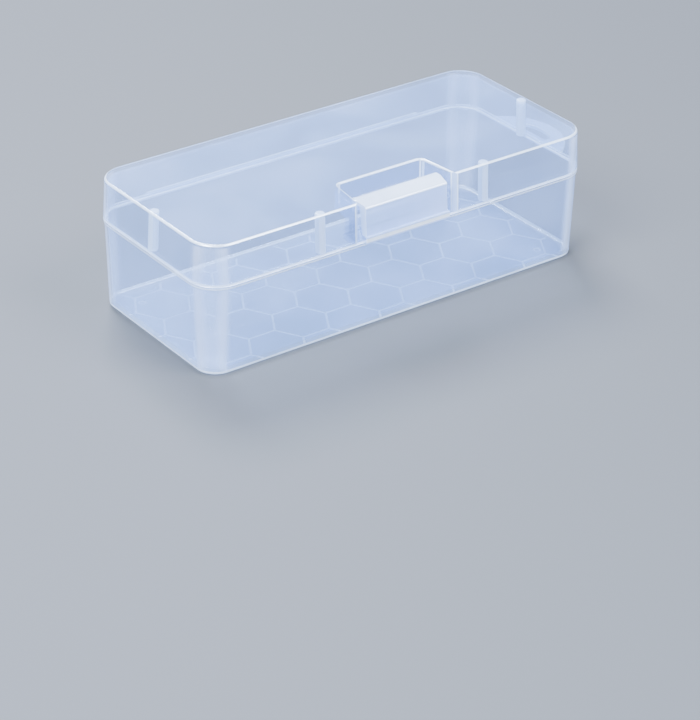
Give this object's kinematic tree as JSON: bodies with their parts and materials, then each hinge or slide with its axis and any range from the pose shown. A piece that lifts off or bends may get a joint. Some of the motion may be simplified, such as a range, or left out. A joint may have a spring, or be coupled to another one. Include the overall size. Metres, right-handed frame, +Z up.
{
  "type": "storage box",
  "caption": "Small translucent clip-lid storage box: hinged lid with a recessed finger pocket, fold-down latch flap, hang loop on one end and a honeycomb floor.",
  "frame": {"origin": "on the surface the feet stand on, under the middle of the whole length with the hang loop", "axes": "+X along the length towards the hang loop, -Y towards the latch, +Z up"},
  "size_m": [0.1936, 0.0802, 0.0539],
  "materials": {
    "natural_polypropylene": "unpigmented polypropylene, milky and see-through, smooth from a polished mould",
    "hinge_film": "thin film of the same plastic, whitened where it bends"
  },
  "bodies": {
    "tub": {"base_tub": "natural_polypropylene", "lid_hinge_web": "hinge_film", "latch_hinge_web": "hinge_film"},
    "lid": {"lid": "natural_polypropylene"},
    "latch": {"latch_flap": "natural_polypropylene"}
  },
  "joints": [
    {"name": "lid_hinge", "type": "hinge", "parent": "tub", "child": "lid", "pos_m": [-0.0068, 0.0398, 0.03765], "axis": [-1, 0, 0], "range_deg": [0, 180], "deforming": ["lid_hinge_web"]},
    {"name": "latch_hinge", "type": "hinge", "parent": "tub", "child": "latch", "pos_m": [-0.0068, -0.0398, 0.03815], "axis": [1, 0, 0], "range_deg": [0, 170], "deforming": ["latch_hinge_web"]}
  ]
}
